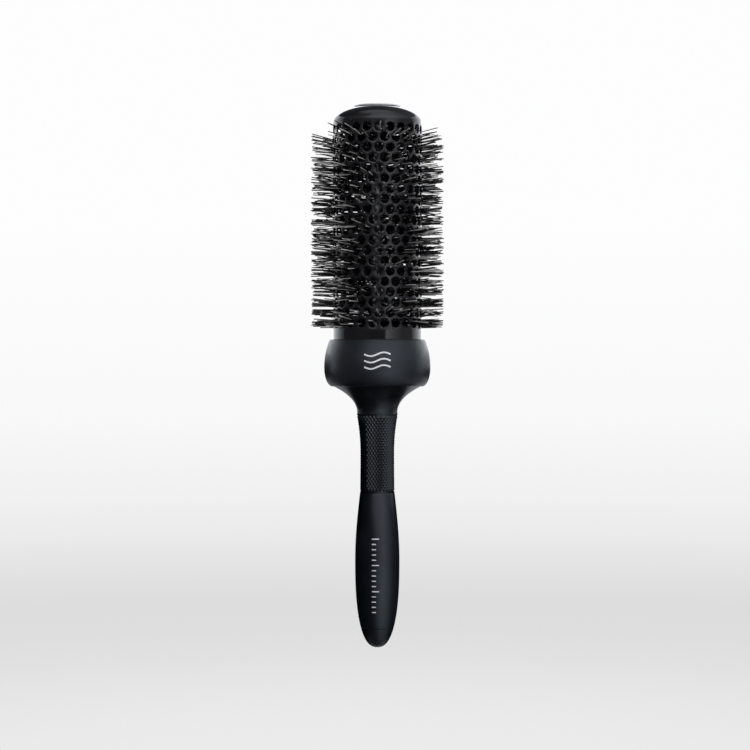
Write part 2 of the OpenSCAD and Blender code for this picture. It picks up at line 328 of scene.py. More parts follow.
def raise_surface(material, *layers):
    """Stacks bumps, each given as a height from 0 to 1 and how many millimetres a height of 1 stands."""
    normal = None
    for height, depth_mm in layers:
        inputs = {"Height": height, "Distance": depth_mm * MM, "Strength": 1.0}
        if normal is not None:
            inputs["Normal"] = normal
        normal = add(material, "ShaderNodeBump", inputs).outputs["Normal"]
    feed(material, "Normal", normal)


COOL_SHEEN = (0.82, 0.91, 1.0, 1)


def barrel_coat():
    """Gloss ceramic coating on the metal: a hint of orange peel, rubbed a little duller in patches."""
    m = new_material("barrel_coat", "barrel_metal", (0.0075, 0.0072, 0.0092), 0.09, IOR=1.5)
    patches = grain(m, 9, 4)
    feed(m, "Base Color", mottle(m, patches, (0.006, 0.006, 0.008), (0.011, 0.010, 0.013)))
    rub = grain(m, 1.3, 5, (1, 1, 0.25))
    feed(m, "Roughness", spread(m, rub, 0.03, 0.09))
    raise_surface(m, (grain(m, 1.1, 2), 0.002))
    return m


def turned_bright():
    """Satin silver finish of the end disc, turned on a lathe: fine rings and faint hairlines."""
    m = new_material("turned_bright", "bright_metal", (0.95, 0.95, 0.96), 0.5, Metallic=0.2)
    rings = add(m, "ShaderNodeTexWave",
                {"Vector": place(m), "Scale": 1 / (2.4 * MM), "Distortion": 0.4, "Detail": 1.0},
                wave_type="RINGS", rings_direction="Z")
    feed(m, "Roughness", spread(m, grain(m, 0.6, 4), 0.40, 0.54))
    feed(m, "Base Color", mottle(m, grain(m, 4, 3), (0.93, 0.93, 0.94), (0.97, 0.97, 0.98)))
    raise_surface(m, (rings.outputs["Fac"], 0.003), (grain(m, 0.15, 2), 0.0008))
    return m


def drawn_wire():
    """Galvanised wire with draw marks along it and dull spots."""
    m = new_material("drawn_wire", "wire", (0.50, 0.50, 0.51), 0.32, Metallic=1.0)
    marks = grain(m, 0.25, 4, (1, 1, 0.12))
    feed(m, "Roughness", spread(m, marks, 0.25, 0.48))
    feed(m, "Base Color", mottle(m, grain(m, 1.5, 3), (0.36, 0.36, 0.37), (0.60, 0.60, 0.61)))
    raise_surface(m, (marks, 0.006))
    return m


def nylon():
    """Black nylon filaments with a soft gloss. About a quarter turn pale outside the barrel as painted highlight
    strokes, and painted shade keeps every filament black inside it.
    """
    m = new_material("nylon", "nylon", (0.012, 0.010, 0.009), 0.25, IOR=1.5, Specular_IOR_Level=0.38)
    one = add(m, "ShaderNodeNewGeometry").outputs["Random Per Island"]
    from_axis = add(m, "ShaderNodeVectorMath", {0: place(m, (1, 1, 0))}, operation="LENGTH")
    # Painted shade: nothing pales inside the barrel, so the filaments there stay black.
    outside = spread(m, from_axis.outputs["Value"], 0, 1, (BARREL_R - 1) * MM, (BARREL_R + 1.5) * MM)
    # Painted highlight: about a quarter of the filaments, chosen at random, turn pale outside the barrel.
    pale = add(m, "ShaderNodeMath", {0: spread(m, one, 0, 1, 0.76, 0.98), 1: outside}, operation="MULTIPLY")
    feed(m, "Base Color", blend_colour(m, pale.outputs[0], (0.003, 0.003, 0.003), (0.72, 0.69, 0.65)))
    feed(m, "Roughness", spread(m, grain(m, 0.8, 3), 0.16, 0.28))
    raise_surface(m, (grain(m, 0.2, 2), 0.004))
    return m


def soft_touch():
    """Matte soft-touch skin: very fine grain, slightly polished where fingers rub it."""
    m = new_material("soft_touch", "soft_touch", (0.009, 0.0105, 0.014), 0.42, IOR=1.5,
                     Specular_IOR_Level=0.5, Specular_Tint=COOL_SHEEN)
    cloudy = grain(m, 14, 4)
    feed(m, "Base Color", mottle(m, cloudy, (0.007, 0.0085, 0.012), (0.011, 0.0125, 0.017)))
    feed(m, "Roughness", spread(m, grain(m, 5, 4), 0.31, 0.41))
    raise_surface(m, (grain(m, 0.16, 3), 0.006), (grain(m, 1.8, 2), 0.004))
    return m


def polished_moulding():
    """Hard glossy plastic with faint flow marks and hairlines."""
    m = new_material("polished_moulding", "gloss_black", (0.008, 0.008, 0.009), 0.2, IOR=1.5,
                     Specular_Tint=COOL_SHEEN)
    flow = grain(m, 7, 3, (1, 1, 0.4))
    feed(m, "Base Color", mottle(m, flow, (0.004, 0.0045, 0.0055), (0.009, 0.010, 0.012)))
    feed(m, "Roughness", spread(m, grain(m, 0.9, 5), 0.27, 0.39))
    raise_surface(m, (grain(m, 0.5, 3), 0.002))
    return m


def plain_moulding():
    """Inner plastic parts, straight from the tool."""
    m = new_material("plain_moulding", "hard_black", (0.014, 0.014, 0.015), 0.45)
    feed(m, "Base Color", mottle(m, grain(m, 5, 3), (0.011, 0.011, 0.012), (0.018, 0.018, 0.019)))
    feed(m, "Roughness", spread(m, grain(m, 0.8, 4), 0.38, 0.55))
    raise_surface(m, (grain(m, 0.3, 3), 0.005))
    return m


def grip_rubber():
    """Rubber of the patterned sleeve, shinier in patches."""
    m = new_material("grip_rubber", "grip_rubber", (0.008, 0.009, 0.011), 0.25, IOR=1.5,
                     Specular_Tint=COOL_SHEEN)
    worn = grain(m, 6, 4)
    feed(m, "Base Color", mottle(m, worn, (0.005, 0.006, 0.008), (0.010, 0.011, 0.014)))
    feed(m, "Roughness", spread(m, worn, 0.20, 0.11))
    raise_surface(m, (grain(m, 0.12, 2), 0.004))
    return m


def seal_rubber():
    """Smooth rubber of the pick's ring."""
    m = new_material("seal_rubber", "seal_rubber", (0.014, 0.014, 0.014), 0.38)
    feed(m, "Base Color", mottle(m, grain(m, 1.5, 3), (0.010, 0.010, 0.010), (0.02, 0.02, 0.02)))
    feed(m, "Roughness", spread(m, grain(m, 0.4, 3), 0.3, 0.46))
    raise_surface(m, (grain(m, 0.1, 2), 0.003))
    return m


def pick_steel():
    """Ground steel of the pick and its bush, with fine lines along it."""
    m = new_material("pick_steel", "pick_steel", (0.60, 0.60, 0.61), 0.25, Metallic=1.0)
    lines = grain(m, 0.12, 4, (1, 1, 0.06))
    feed(m, "Roughness", spread(m, lines, 0.18, 0.36))
    feed(m, "Base Color", mottle(m, grain(m, 3, 3), (0.50, 0.50, 0.51), (0.66, 0.66, 0.67)))
    raise_surface(m, (lines, 0.003))
    return m


def white_ink():
    """Pad-printed white ink: slightly uneven cover and a dry, matte face."""
    m = new_material("white_ink", "soft_touch", (0.82, 0.82, 0.83), 0.5)
    feed(m, "Base Color", mottle(m, grain(m, 0.35, 4), (0.88, 0.88, 0.89), (0.97, 0.97, 0.97)))
    feed(m, "Roughness", spread(m, grain(m, 0.2, 3), 0.42, 0.6))
    raise_surface(m, (grain(m, 0.08, 2), 0.003))
    return m


COAT = barrel_coat()
BRIGHT = turned_bright()
WIRE = drawn_wire()
NYLON = nylon()
SOFT = soft_touch()
GLOSS = polished_moulding()
PLAIN = plain_moulding()
RUBBER = grip_rubber()
SEAL = seal_rubber()
STEEL = pick_steel()
INK = white_ink()


# ---------------------------------------------------------------- barrel

def vent_azimuth(row, i):
    return VENT_TURN + VENT_STEP * (i + (row % 2) / 2)


def cell_edge(row):
    """The border of one vent's cell at each ray, as offsets (round, along).

    It has six sides. In the first and last rows, the side to the plain band is straight."""
    rays = np.radians(np.arange(RAYS) * 360 / RAYS - 30)
    reach = CELL_HALF / np.cos((rays + math.pi / 6) % (math.pi / 3) - math.pi / 6)
    stretch = ROW_PITCH / (CELL_HALF * math.sqrt(3))
    edge = np.stack([reach * np.cos(rays), stretch * reach * np.sin(rays)], -1)
    if row in (0, len(ROW_Z) - 1):
        side = 1 if row == 0 else -1
        facing = [k for k in range(RAYS) if side * math.sin(rays[k]) > 0.51]
        facing.sort(key=lambda k: -edge[k, 0])
        edge[facing, 0] = np.linspace(CELL_HALF, -CELL_HALF, len(facing))
        edge[facing, 1] = side * FLAT_REACH
    return rays, edge


def vent_cell(row, i):
    """Rings of points from the cell's outer border, over the lip and through the wall to its inner one."""
    rays, edge = cell_edge(row)
    circle = np.stack([np.cos(rays), np.sin(rays)], -1)
    lip = [(0.30, 0.0), (0.15, 0.03), (0.04, 0.13), (0.0, 0.30), (0.0, WALL - 0.12), (0.12, WALL)]
    flat = [edge] + [circle * (VENT_R + out) for out, _ in lip] + [edge]
    depth = [0.0] + [d for _, d in lip] + [WALL]
    centre = vent_azimuth(row, i)
    rings = [on_axis(np.full(RAYS, BARREL_R - d), centre + f[:, 0] / BARREL_R, ROW_Z[row] + f[:, 1])
             for f, d in zip(flat, depth)]
    return np.stack(rings)


def barrel_bands():
    """The unpierced parts: the rounded shoulder, in and out, and the foot."""
    places = VENTS_PER_ROW * 6
    azimuths = VENT_TURN + np.arange(places) * TURN / places
    stop = math.degrees(math.acos(MOUTH_R / BARREL_R))
    stop_in = math.degrees(math.acos(MOUTH_R / BORE_R))
    top_z = ROW_Z[0] + FLAT_REACH
    foot_z = ROW_Z[-1] - FLAT_REACH
    shoulder = ([(BARREL_R, top_z)] + arc(BARREL_R, DOME_H, SHOULDER_Z, 0, stop, 26)
                + arc(BORE_R, DOME_H - WALL, SHOULDER_Z, stop_in, 0, 16) + [(BORE_R, top_z)])
    foot = [(BORE_R, foot_z), (BORE_R, BARREL_FOOT_Z), (BARREL_R, BARREL_FOOT_Z), (BARREL_R, foot_z)]
    for outline in (shoulder, foot):
        yield np.stack([on_axis(np.full(places, r), azimuths, np.full(places, z)) for r, z in outline])


def make_barrel():
    points, faces, count = [], [], 0
    cells = [vent_cell(row, i) for row in range(len(ROW_Z)) for i in range(VENTS_PER_ROW)]
    for rings in cells + list(barrel_bands()):
        p, f = strips(rings)
        points.append(p)
        faces.append(f + count)
        count += len(p)
    whole = weld(np.concatenate(points), np.concatenate(faces))
    piece("vented_barrel", *whole, COAT, replaces=["barrel"], sharp=50)


def make_end_disc():
    """A low bright cap over the barrel's mouth: a thin lip, a groove and a rounded crown."""
    disc_r, face_z, stem_z = radius("end_disc"), top("end_disc"), bottom("end_disc")
    stem_r, lip_z, lip_h, groove, soften = 1.9, face_z - 0.9, 0.25, 0.2, 0.1
    crown_z, crown_w, crown_r = lip_z + 0.45, 5.5, disc_r - 0.05
    lip = rounded([(0, stem_z), (stem_r, stem_z, 2 * soften), (stem_r, lip_z), (disc_r, lip_z, soften),
                   (disc_r, lip_z + lip_h, soften), (disc_r - groove, lip_z + lip_h),
                   (disc_r - groove, crown_z)])
    crown = arc(crown_w, face_z - crown_z, crown_z, 0, 90, 16)
    outline = lip + [(crown_r - crown_w + r, z) for r, z in crown] + [(0, face_z)]
    piece("end_disc_turned", *lathe(outline), BRIGHT, replaces=["end_disc"], sharp=60)


# ---------------------------------------------------------------- twisted wire and bristles

def make_wire(name, node, phase):
    """One round strand wound beside the other, cut square at both ends."""
    sides, steps = 12, 170
    turns = WIRE_HAND * (WIRE_Z[1] - WIRE_Z[0]) / WIRE_PITCH
    slope = WIRE_HAND * math.atan(TURN * WIRE_PATH_R / WIRE_PITCH)
    along = np.linspace(0, 1, steps + 1)
    azimuths = phase + TURN * turns * along
    around = np.arange(sides) * TURN / sides
    out = WIRE_PATH_R + WIRE_R * np.cos(around)
    across = WIRE_R * np.sin(around)
    rings = []
    for t, azimuth in zip(along, azimuths):
        rise = 0 if t in (0, 1) else -math.sin(slope)
        side = across * math.cos(slope)
        x = out * math.cos(azimuth) - side * math.sin(azimuth)
        y = out * math.sin(azimuth) + side * math.cos(azimuth)
        z = WIRE_Z[0] + (WIRE_Z[1] - WIRE_Z[0]) * t + across * rise
        rings.append(np.stack([x, y, z], -1))
    points, faces = strips(np.stack(rings))
    faces = [list(f) for f in faces] + [list(range(sides))[::-1]]
    faces.append(list(range(steps * sides, (steps + 1) * sides)))
    piece(name, points, faces, WIRE, replaces=[node])


def nearest_vent(azimuth, z):
    """The row and the azimuth of the vent closest to a place on the barrel."""
    near = []
    for row, row_z in enumerate(ROW_Z):
        i = round((azimuth - VENT_TURN) / VENT_STEP - (row % 2) / 2)
        at = vent_azimuth(row, i)
        near.append((math.hypot((azimuth - at) * BARREL_R, z - row_z), row, at))
    return min(near)[1:]


def grow_filaments():
    """Each filament leaves the wire on its helix, is caught by the nearest vent and stands out beyond it.

    Gives for each: the vent's row, azimuth and height at the wire, climb and drift per millimetre outwards,
    how far the vent bends it (round, along), the radius of its tip, and the curl of its free end."""
    low, high = ROW_Z[-1] - 2.5, ROW_Z[0] - 5.8      # the part of the wire that holds filaments
    held_r = VENT_R - FILAMENT_R - 0.15              # how far from a vent's centre it can pass
    fan, end_lean, end_reach = 0.6, 0.2, 7           # spread round the wire; lean towards the rounded end
    grown = []
    for k in range(SHORT_FILAMENTS):
        azimuth = TURN * (k + rng.random()) / SHORT_FILAMENTS * 7 % TURN
        z = rng.uniform(high - 1, bottom("end_plug") - 1)
        climb, tip_r = rng.normal(0, 0.04), BORE_R - rng.uniform(0.5, 4)
        grown.append((0, azimuth, z, climb, 0.0, np.zeros(2), tip_r, rng.normal(0, 0.02, 2)))
    for k in range(FILAMENTS):
        z = low + (high - low) * (k + rng.random()) / FILAMENTS
        azimuth = (WIRE_HAND * TURN * z / WIRE_PITCH + math.pi * (k % 2) + rng.normal(0, fan)) % TURN
        climb = rng.normal(0.03, 0.06) + end_lean * math.exp(-(high - z) / end_reach)
        drift = rng.normal(0, 0.05)
        z_start = z + rng.normal(0, 0.4)
        z_free = z_start + climb * (BARREL_R - 2)
        row, vent = nearest_vent(azimuth, min(max(z_free, ROW_Z[-1]), ROW_Z[0]))
        off = np.array([(azimuth - vent) * BARREL_R, z_free - ROW_Z[row]])
        bend = off * min(1.0, held_r / max(np.linalg.norm(off), 1e-6)) - off
        tip_r = BRISTLE_R - abs(rng.normal(0, 0.5)) - (rng.random() < 0.12) * rng.uniform(0.5, 2.5)
        grown.append((row, azimuth, z_start, climb, drift, bend, tip_r, rng.normal(0, 0.025, 2)))
    return grown


def filament_path(filament):
    """Centres of one filament: bent like a cantilever up to the vent, then on at the slope it has there."""
    _, azimuth, z_start, climb, drift, bend, tip_r, curl = filament
    root_r = WIRE_R * 1.6
    bend_end_r = min(BARREL_R, tip_r - 1)
    radii = np.concatenate([np.linspace(root_r, bend_end_r, 6), np.linspace(bend_end_r, tip_r, 8)[1:]])
    span = BARREL_R - root_r
    t = np.clip((radii - root_r) / span, 0, 1)
    beyond = np.clip(radii - BARREL_R, 0, None)
    share = (3 * t ** 2 - t ** 3) / 2 + 1.5 * beyond / span
    curve = 8 * (beyond / (BRISTLE_R - BARREL_R)) ** 2
    side = drift * beyond + bend[0] * share + curl[0] * curve
    rise = climb * (radii - root_r) + bend[1] * share + curl[1] * curve
    x = radii * math.sin(azimuth) + side * math.cos(azimuth)
    y = -radii * math.cos(azimuth) + side * math.sin(azimuth)
    return np.stack([x, y, z_start + rise], -1)


def tube(path, thickness, sides=8):
    """A closed round rod along a path, with its cut tip slightly rounded."""
    tip_share, tip_length = 0.72, 0.35
    ahead = np.gradient(path, axis=0)
    ahead /= np.linalg.norm(ahead, axis=1, keepdims=True)
    side = np.cross(ahead, (0.0, 0.0, 1.0))
    side /= np.linalg.norm(side, axis=1, keepdims=True)
    other = np.cross(ahead, side)
    around = (np.arange(sides) * TURN / sides)[None, :, None]
    thick = np.full(len(path), thickness)
    thick[-1] *= tip_share
    path[-2] = path[-1] - ahead[-1] * thickness * tip_length
    outward = np.cos(around) * side[:, None] + np.sin(around) * other[:, None]
    rings = path[:, None] + thick[:, None, None] * outward
    points, quads = strips(rings)
    ends = [list(range(sides))[::-1], list(range(len(points) - sides, len(points)))]
    return points, quads, ends


def make_bristles(rows_per_piece=5):
    """The filaments of every few rows of vents as one piece."""
    filaments = grow_filaments()
    for first in range(0, len(ROW_Z), rows_per_piece):
        rows = range(first, first + rows_per_piece)
        points, faces, count = [], [], 0
        for filament in (f for f in filaments if f[0] in rows):
            p, quads, ends = tube(filament_path(filament), FILAMENT_R * rng.uniform(0.9, 1.06))
            points.append(p)
            faces.extend((quads + count).tolist())
            faces.extend([[v + count for v in e] for e in ends])
            count += len(p)
        name = f"bristles_rows_{first + 1:02d}_{first + rows_per_piece:02d}"
        piece(name, np.concatenate(points), faces, NYLON, replaces=[ROW_NODES[r] for r in rows], sharp=45)


# ---------------------------------------------------------------- collar and handle

def make_collar():
    """The skin from the core's flare up the rounded side to the lip round the barrel."""
    lip, chamfer, inner = 0.6, 0.3, BARREL_R + FIT
    share = (1 - np.cos(np.linspace(0, math.pi, 49))) / 2
    side = [(collar_radius(z), z) for z in COLLAR_Z[0] + (COLLAR_Z[1] - lip - COLLAR_Z[0]) * share]
    turn = arc(lip, lip, COLLAR_Z[1] - lip, math.degrees(0.2), 90, 7)
    outline = ([(FLARE_R, LEDGE_Z), (FLARE_R, COLLAR_Z[0])] + side
               + [(COLLAR_RIM_R - lip + r, z) for r, z in turn]
               + [(inner + chamfer, COLLAR_Z[1]), (inner, COLLAR_Z[1] - chamfer), (inner, LEDGE_Z)])
    piece("collar_skin", *lathe(outline, 192), SOFT, replaces=["collar"], sharp=60)


def make_handle_core():
    """One moulding: a tube down the handle, the flared neck, and a spigot that the barrel slides over."""
    flare_z = GRIP_Z[1] + (COLLAR_Z[0] - GRIP_Z[1]) * np.sin(np.linspace(0, math.pi / 2, 41))
    flare = [(neck_radius(z), z) for z in flare_z]
    mouth_r, bore_r, foot_z, mouth_z = 5.4, 2.1, CAP_Z + SEAM, CAP_Z + 10
    spigot_z, spigot_in_r, ferrule_r = BARREL_FOOT_Z + 10, BORE_R - 3, 5.03
    seat_z = COLLAR_Z[0] + 3.5
    ferrule_z, bore_end_z = seat_z - 5, top("pick_spike") + 2
    outline = ([(mouth_r, foot_z), (CORE_R, foot_z), (CORE_R, GRIP_Z[1])] + flare
               + [(FLARE_R - FIT, LEDGE_Z), (BARREL_R - FIT, LEDGE_Z), (BARREL_R - FIT, BARREL_FOOT_Z - FIT),
                  (BORE_R - FIT, BARREL_FOOT_Z - FIT), (BORE_R - FIT, spigot_z), (spigot_in_r, spigot_z),
                  (spigot_in_r, seat_z), (ferrule_r, seat_z), (ferrule_r, ferrule_z), (0, ferrule_z),
                  (0, bore_end_z), (bore_r, bore_end_z), (bore_r, mouth_z), (mouth_r, mouth_z)])
    piece("handle_core_moulding", *lathe(outline, 160), GLOSS, replaces=["handle_core"], sharp=35)


def make_grip_sleeve():
    """A sleeve with rows of raised diamonds, set between two plain rims."""
    around, diamond_h, rim, stand, edge = 33, 2.5, 0.55, 0.36, 0.12
    steps = [(1.0, 0.0), (0.9, 0.04), (0.14, stand)]     # a diamond's size and height, foot to top
    low, high = GRIP_Z[0] + rim, GRIP_Z[1] - rim
    half_rows = 2 * round((high - low) / diamond_h)
    half_h = (high - low) / half_rows
    points, faces = [], []

    def at(i, j, lift):
        """A place i diamonds round and j half rows up."""
        z = low + j * half_h
        return on_axis(grip_radius(z) - stand + lift, np.array(i * TURN / around), np.array(z))

    def face(*corners):
        faces.append(list(range(len(points), len(points) + len(corners))))
        points.extend(corners)

    for j in range(half_rows - 1):
        for k in range(around):
            i = k + (j % 2) / 2
            corners = [(i, j), (i + 0.5, j + 1), (i, j + 2), (i - 0.5, j + 1)]
            centre = np.array([i, j + 1.0])
            rings = [[at(*(centre + (np.array(c) - centre) * size), lift) for c in corners]
                     for size, lift in steps]
            for outer, inner in zip(rings, rings[1:]):
                for c in range(4):
                    n = (c + 1) % 4
                    face(outer[c], outer[n], inner[n], inner[c])
            face(*rings[-1])
    for row, side in ((0, 1), (half_rows, -1)):          # flat triangles between end diamonds and rims
        for k in range(around):
            i = k + (row % 2) / 2
            left, mid, right = at(i, row, 0), at(i + 0.5, row, 0), at(i + 1, row, 0)
            apex = at(i + 0.5, row + side, 0)
            for a, b in ((left, mid), (mid, right)):
                face(*((a, b) if side > 0 else (b, a)), apex)
    bore, ease = CORE_R + FIT, 0.3 * edge
    closing = [(grip_radius(high) - stand, high), (grip_radius(high), high + 0.1),
               (GRIP_TOP_R, GRIP_Z[1] - edge), (GRIP_TOP_R - ease, GRIP_Z[1] - ease),
               (GRIP_TOP_R - edge, GRIP_Z[1]), (bore, GRIP_Z[1]), (bore, GRIP_Z[0]),
               (GRIP_FOOT_R - edge, GRIP_Z[0]), (GRIP_FOOT_R - ease, GRIP_Z[0] + ease),
               (GRIP_FOOT_R, GRIP_Z[0] + edge), (grip_radius(low), low - 0.1),
               (grip_radius(low) - stand, low)]
    places = 2 * around
    azimuths = np.arange(places) * TURN / places
    p, f = strips(np.stack([on_axis(np.full(places, r), azimuths, np.full(places, z)) for r, z in closing]))
    faces.extend((f + len(points)).tolist())
    points.extend(p)
    piece("grip_sleeve_diamonds", *weld(points, faces, 1e3), RUBBER, replaces=["grip_sleeve"], sharp=28)


def make_handle_shell():
    edge, bore = 0.25, CORE_R + FIT
    top_z, foot_z = GRIP_Z[0] - edge, CAP_Z + edge
    side = [(tail_radius(z), z) for z in np.linspace(top_z, foot_z, 90)]
    top_r, foot_r = tail_radius(top_z), tail_radius(foot_z)
    outline = ([(bore, GRIP_Z[0]), (top_r - edge, GRIP_Z[0]), (top_r - 0.3 * edge, GRIP_Z[0] - 0.3 * edge)]
               + side
               + [(foot_r - 0.35 * edge, CAP_Z + 0.25 * edge), (foot_r - 1.1 * edge, CAP_Z), (bore, CAP_Z)])
    piece("handle_shell_skin", *lathe(outline, 160), SOFT, replaces=["handle_shell"], sharp=60)


# ---------------------------------------------------------------- pull-out pick

def make_pick():
    """The cap with its spigot and groove, the ring in the groove, and the spike that the cap holds."""
    edge, chamfer, groove = 0.25, 0.4, RING_R + 0.1
    top_z, start_z = CAP_Z + 8, CAP_Z - SEAM
    hole_r, hole_z = 1.625, top_z - 10
    start_r, groove_r = tail_radius(start_z), RING_PATH_R - RING_R
    side_z = start_z - edge - (start_z - edge - TIP_Z) * np.sin(np.linspace(0, math.pi / 2, 40))
    side = [(tail_radius(z), z) for z in side_z[:-1]] + [(0, TIP_Z)]
    outline = ([(hole_r, top_z), (SPIGOT_R - chamfer, top_z), (SPIGOT_R, top_z - chamfer),
                (SPIGOT_R, RING_Z + groove), (groove_r, RING_Z + groove), (groove_r, RING_Z - groove),
                (SPIGOT_R, RING_Z - groove), (SPIGOT_R, start_z), (start_r - edge, start_z),
                (start_r - 0.25 * edge, start_z - 0.3 * edge)] + side + [(0, hole_z), (hole_r, hole_z)])
    piece("pick_cap_skin", *lathe(outline, 144), SOFT, body="pick", replaces=["pick_cap"], sharp=60)

    turns = np.arange(20) * TURN / 20
    ring = [(RING_PATH_R + RING_R * math.cos(t), RING_Z + RING_R * math.sin(t)) for t in turns]
    piece("pick_ring", *lathe(ring, 96), SEAL, body="pick", replaces=["pick_o_ring"])

    root_z, tip_z, shank_r, shank_h, point_r = bottom("pick_spike"), top("pick_spike"), 1.6, 16, 0.7
    point = [(point_r * math.cos(t), tip_z - point_r + point_r * math.sin(t)) for t in np.linspace(0, 1.5, 9)]
    spike = [(0, root_z), (shank_r, root_z), (shank_r, root_z + shank_h)] + point + [(0, tip_z)]
    piece("pick_spike_ground", *lathe(spike, 48), STEEL, body="pick", replaces=["pick_spike"])


def make_socket():
    low, high, outer, chamfer = bottom("pick_socket"), top("pick_socket"), radius("pick_socket"), 0.3
    outline = [(SOCKET_R + chamfer, low), (outer, low), (outer, high), (SOCKET_R, high),
               (SOCKET_R, low + chamfer)]
    piece("pick_socket_bush", *lathe(outline, 96), STEEL, replaces=["pick_socket"])


# ---------------------------------------------------------------- printed marks

def ink_line(path, width, surface_radius):
    """A closed thin ribbon of ink along points (x, z) on the front of a round surface."""
    stand, root = 0.035, 0.06
    path = np.asarray(path, float)
    ahead = np.gradient(path, axis=0)
    ahead /= np.linalg.norm(ahead, axis=1, keepdims=True)
    side = np.stack([-ahead[:, 1], ahead[:, 0]], -1)
    across = np.linspace(-width / 2, width / 2, 5)
    rings = []
    for p, s in zip(path, side):
        flat = p + across[:, None] * s
        r = np.array([surface_radius(z) for z in flat[:, 1]])
        azimuth = np.arcsin(flat[:, 0] / r)
        face = on_axis(r + stand, azimuth, flat[:, 1])
        back = on_axis(r - root, azimuth, flat[:, 1])
        rings.append(np.concatenate([back, face[::-1]]))
    points, faces = strips(np.stack(rings))
    count = rings[0].shape[0]
    ends = [list(range(count))[::-1], list(range(len(points) - count, len(points)))]
    return points, [list(f) for f in faces] + ends


def ink_mark(name, lines, surface_radius):
    """Several ink lines joined as one printed mark."""
    points, faces = [], []
    for path, width in lines:
        p, f = ink_line(path, width, surface_radius)
        faces.extend([[int(v) + len(points) for v in face] for face in f])
        points.extend(p)
    piece(name, points, faces, INK, sharp=50)


def make_marks():
    """Three plain air waves on the collar and a row of graduation ticks down the handle."""
    wave_w, wave_h, wave_gap, wave_line = 12.4, 0.9, 3.0, 0.75
    x = np.linspace(-wave_w / 2, wave_w / 2, 49)
    z = (COLLAR_Z[0] + COLLAR_Z[1]) / 2 + 1.0 + wave_h * np.sin(x / wave_w * TURN)
    waves = [(np.stack([x, z + lift], -1), wave_line) for lift in (-wave_gap, 0.0, wave_gap)]
    ink_mark("collar_waves", waves, collar_radius)

    ticks, tick_gap, tick_line, long_half, short_half = 15, 2.5, 0.5, 1.7, 1.0
    left, first_z = -0.9 - long_half, -40.6
    lines = []
    for k in range(ticks):
        half = short_half if k % 5 else long_half
        across = np.linspace(left, left + 2 * half, 9)
        lines.append((np.stack([across, np.full(9, first_z - tick_gap * k)], -1), tick_line))
    ink_mark("handle_ticks", lines, tail_radius)


# ---------------------------------------------------------------- stage, light and camera

def stage_material(name, colour_of):
    material = bpy.data.materials.new(name)
    material.use_nodes = True
    nodes = material.node_tree.nodes
    nodes.clear()
    out = nodes.new("ShaderNodeOutputMaterial")
    glow = nodes.new("ShaderNodeEmission")
    material.node_tree.links.new(glow.outputs[0], out.inputs[0])
    colour_of(material, glow)
    return material


def add_stage_mesh(name, points, faces, material, z=0.0):
    """An object in metres that is not part of the brush."""
    mesh = bpy.data.meshes.new(name)
    mesh.from_pydata(points.tolist(), [], [list(f) for f in faces])
    mesh.materials.append(material)
    obj = bpy.data.objects.new(name, mesh)
    obj.location.z = z
    bpy.context.scene.collection.objects.link(obj)
    return obj


# Painted light on the floor, which glows: its brightness by distance in metres from the point under the brush
FLOOR_SHADES = [(0.0, 0.84), (0.22, 0.825), (0.34, 0.80), (0.48, 0.76), (0.66, 0.73), (0.9, 0.72),
                (1.2, 0.765), (1.7, 0.83), (2.5, 0.875), (4.0, 0.905), (6.9, 0.93), (8.0, 0.935)]
FLOOR_REACH = FLOOR_SHADES[-1][0]
FLOOR_Z = TIP_Z * MM - 0.069


def set_ramp(ramp, stops):
    """Puts (position, colour) stops on a colour ramp."""
    while len(ramp.elements) < len(stops):
        ramp.elements.new(0.5)
    for element, (position, colour) in zip(ramp.elements, stops):
        element.position = position
        element.color = (*colour, 1)


# Painted light: the floor's glow rises and falls with distance from the brush, as FLOOR_SHADES gives.
def floor_painted_light(material, glow):
    coords = add(material, "ShaderNodeTexCoord").outputs["Object"]
    length = add(material, "ShaderNodeVectorMath", {0: coords}, operation="LENGTH").outputs["Value"]
    ramp = add(material, "ShaderNodeValToRGB", {"Fac": spread(material, length, 0, 1, 0, FLOOR_REACH)})
    set_ramp(ramp.color_ramp, [(distance / FLOOR_REACH, [shade] * 3) for distance, shade in FLOOR_SHADES])
    material.node_tree.links.new(ramp.outputs["Color"], glow.inputs["Color"])


# Painted light: the surround glows a little darker towards the bottom.
def surround_painted_light(material, glow):
    coords = add(material, "ShaderNodeTexCoord").outputs["Object"]
    height = add(material, "ShaderNodeSeparateXYZ", {0: coords}).outputs["Z"]
    up = spread(material, height, 0, 1, 0, 0.8)
    white = blend_colour(material, up, (0.94, 0.94, 0.945), (0.985, 0.985, 0.99))
    material.node_tree.links.new(white, glow.inputs["Color"])


def make_stage():
    """A pale floor well below the brush and a white surround that meets it, both seen by the camera only. Both
    glow with painted light instead of being lit.
    """
    places, hub = 96, 0.001
    azimuths = np.arange(places) * TURN / places

    def turned(outline):
        return strips(np.stack([on_axis(np.full(places, r), azimuths, np.full(places, z))
                                for r, z in outline]))

    floor_points, floor_faces = turned([(r + hub, 0)
                                        for r in (0.0, 0.3, 0.6, 1.0, 1.6, 2.6, 4.2, FLOOR_REACH)])
    floor_faces = floor_faces.tolist() + [list(range(places))]
    dome_points, dome_faces = turned([(FLOOR_REACH * math.cos(t), FLOOR_REACH * math.sin(t))
                                      for t in np.linspace(-0.6, math.pi / 2 - 0.01, 24)])
    for name, points, faces, colour in (("stage_floor", floor_points, floor_faces, floor_painted_light),
                                        ("stage_surround", dome_points, dome_faces, surround_painted_light)):
        obj = add_stage_mesh(name, points, faces, stage_material(name, colour), FLOOR_Z)
        obj.visible_glossy = False
        obj.visible_diffuse = False
        obj.visible_transmission = False
        obj.visible_shadow = False


